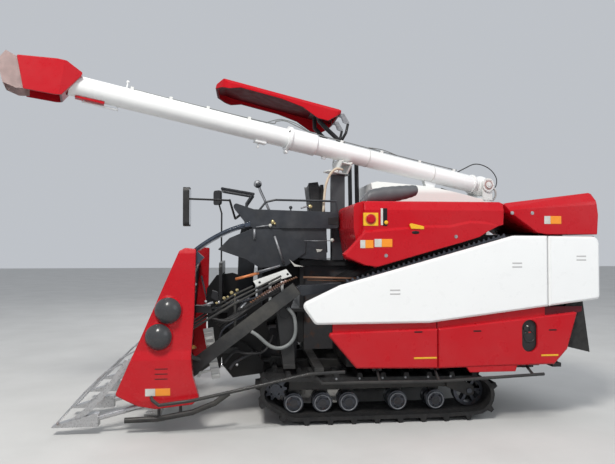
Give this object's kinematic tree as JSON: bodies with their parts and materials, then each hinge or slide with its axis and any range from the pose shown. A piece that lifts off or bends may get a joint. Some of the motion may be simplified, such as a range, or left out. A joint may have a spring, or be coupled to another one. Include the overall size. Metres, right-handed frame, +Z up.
{
  "type": "combine harvester",
  "caption": "Compact head-feeding combine harvester on rubber tracks, with lifting crop header, swinging grain auger, operator seat under a canopy, thresher and grain tank.",
  "frame": {"origin": "on the ground, below the middle of the machine's overall length and width", "axes": "+X forward, out of the crop header; +Y to the machine's left; +Z up"},
  "size_m": [4.49, 1.8548, 2.8198],
  "materials": {
    "frame_black": "satin",
    "black_paint": "gloss",
    "track_rubber": "matte",
    "worn_steel": "worn",
    "cast_grey": "rough",
    "red_paint": "gloss",
    "white_paint": "gloss",
    "black_plastic": "matte",
    "dark_plastic": "matte",
    "grey_plastic": "matte",
    "pale_plastic": "satin",
    "ochre_plastic": "satin",
    "gloss_black": "gloss",
    "soft_rubber": "matte",
    "seat_vinyl": "satin",
    "curtain_film": "satin",
    "bare_steel": "worn",
    "chrome_rod": "polished"
  },
  "bodies": {
    "base": {"chassis": "frame_black", "tow_eyes": "frame_black", "track_left": "track_rubber", "track_right": "track_rubber", "track_frame_left": "frame_black", "track_frame_right": "frame_black", "track_wheels_left": "worn_steel", "track_wheels_right": "worn_steel", "transmission": "cast_grey", "thresher_housing": "frame_black", "drum_cover": "red_paint", "feed_chain": "worn_steel", "side_cover_upper": "white_paint", "side_cover_lower_front": "red_paint", "side_cover_lower_rear": "red_paint", "side_lamp": "black_plastic", "straw_cover": "red_paint", "return_duct": "grey_plastic", "grain_tank": "white_paint", "auger_vertical": "white_paint", "auger_saddle": "white_paint", "engine": "cast_grey", "platform": "frame_black", "fuel_tank": "black_plastic", "side_console": "dark_plastic", "instrument_column": "dark_plastic", "seat": "seat_vinyl", "canopy": "red_paint", "canopy_post": "black_paint", "mirror_left": "black_plastic", "mirror_right": "black_plastic"},
    "header": {"header_frame": "frame_black", "header_side_left": "red_paint", "header_side_right": "red_paint", "raising_case_a": "pale_plastic", "raising_case_b": "pale_plastic", "raising_case_c": "pale_plastic", "divider_a": "bare_steel", "divider_b": "bare_steel", "divider_c": "bare_steel", "divider_d": "bare_steel", "cutter_bar": "bare_steel", "star_wheels": "ochre_plastic", "conveyor_case": "grey_plastic", "guide_strip": "white_paint", "header_arch": "gloss_black"},
    "header_barrel": {"header_cylinder_barrel": "black_paint"},
    "header_rod": {"header_cylinder_rod": "chrome_rod"},
    "auger_base": {"auger_turret": "white_paint"},
    "auger": {"auger_tube": "white_paint", "auger_hood": "red_paint", "hood_curtain": "curtain_film"},
    "auger_barrel": {"auger_cylinder_barrel": "black_paint"},
    "auger_rod": {"auger_cylinder_rod": "chrome_rod"},
    "cutter": {"straw_cutter": "frame_black", "side_cover_rear": "white_paint", "rear_flap": "soft_rubber"},
    "door": {"engine_door": "black_plastic"}
  },
  "joints": [
    {"name": "header_lift", "type": "hinge", "parent": "base", "child": "header", "pos_m": [0.15, 0.3, 0.82], "axis": [0, -1, 0], "range_deg": [0, 22]},
    {"name": "header_cylinder_swivel", "type": "hinge", "parent": "base", "child": "header_barrel", "pos_m": [0.21, 0.3, 0.4], "axis": [0, -1, 0], "range_deg": [0, 22.42]},
    {"name": "header_cylinder_stroke", "type": "slide", "parent": "header_barrel", "child": "header_rod", "axis": [0.9979, 0, -0.0651], "range_m": [0, 0.16289]},
    {"name": "auger_swing", "type": "hinge", "parent": "base", "child": "auger_base", "pos_m": [-1.817, -0.428, 1.77], "axis": [0, 0, 1], "range_deg": [0, 200]},
    {"name": "auger_lift", "type": "hinge", "parent": "auger_base", "child": "auger", "pos_m": [-1.817, -0.428, 1.9], "axis": [0.2588, -0.9659, 0], "range_deg": [0, 32]},
    {"name": "auger_cylinder_swivel", "type": "hinge", "parent": "auger_base", "child": "auger_barrel", "pos_m": [-1.66245, -0.38659, 1.77], "axis": [0.2588, -0.9659, 0], "range_deg": [0, 36.33]},
    {"name": "auger_cylinder_stroke", "type": "slide", "parent": "auger_barrel", "child": "auger_rod", "axis": [0.9326, 0.2499, 0.2605], "range_m": [0, 0.10931]},
    {"name": "cutter_swing", "type": "hinge", "parent": "base", "child": "cutter", "pos_m": [-2, 0.038, 1.16], "axis": [0, 0, 1], "range_deg": [0, 80]},
    {"name": "engine_door_hinge", "type": "hinge", "parent": "base", "child": "door", "pos_m": [-0.645, -0.822, 0.8], "axis": [0, 0, -1], "range_deg": [0, 85]}
  ],
  "couplings": [
    {"joint": "header_cylinder_swivel", "follows": "header_lift", "ratio": 1.0102},
    {"joint": "header_cylinder_stroke", "follows": "header_lift", "m_per_rad": 0.42163},
    {"joint": "auger_cylinder_swivel", "follows": "auger_lift", "ratio": 1.1291},
    {"joint": "auger_cylinder_stroke", "follows": "auger_lift", "m_per_rad": 0.19394}
  ]
}
